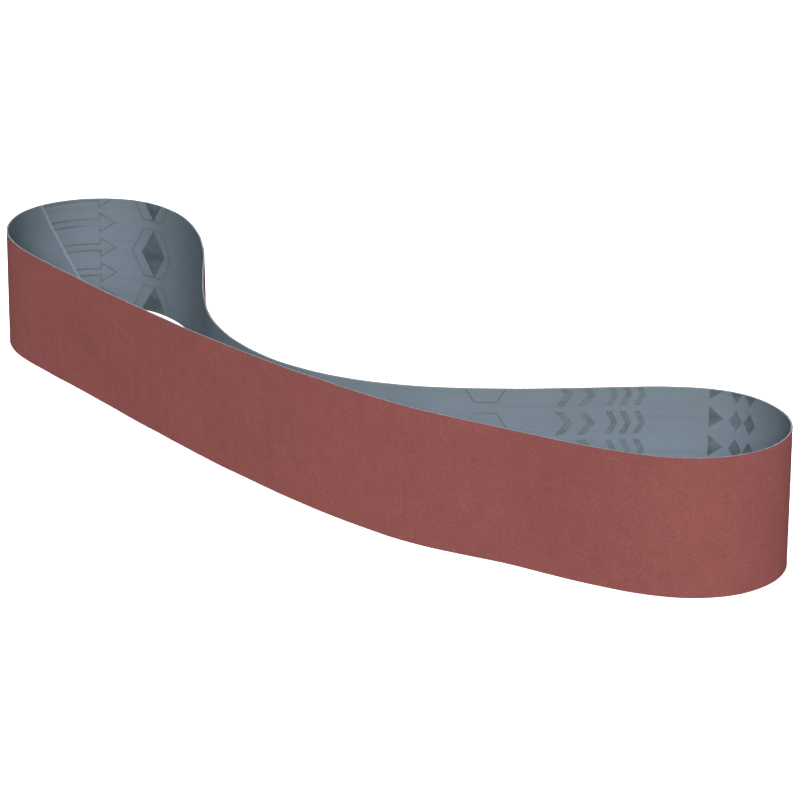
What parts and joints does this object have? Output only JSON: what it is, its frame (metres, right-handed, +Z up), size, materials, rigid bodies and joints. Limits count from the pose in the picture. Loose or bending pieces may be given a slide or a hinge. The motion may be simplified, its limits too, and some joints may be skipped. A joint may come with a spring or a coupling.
{
  "type": "sanding belt",
  "caption": "Endless cloth sanding belt standing on one edge as a slack loop, rounded at both ends and narrow at the waist, with a slanted lapped splice.",
  "frame": {"origin": "under the middle of the loop's box, on the surface that the belt stands on", "axes": "+Z up along the belt's width; +X along the loop's long direction, towards the wider-standing near bulb; +Y towards the sides that the two bulbs swing out to"},
  "size_m": [0.8464, 0.2074, 0.1],
  "materials": {
    "backing_cloth": "resin-filled blue-grey twill, matte",
    "bond_resin": "red-brown resin film",
    "grain": "brown aluminium oxide grain, rough",
    "grain_face": "pigmented resin over grain, matte and gritty",
    "splice_film": "amber adhesive film"
  },
  "bodies": {
    "root": {"cloth_backing": "backing_cloth", "make_coat": "bond_resin", "abrasive_grain": "grain", "size_coat": "grain_face", "splice_adhesive": "splice_film"}
  },
  "joints": []
}
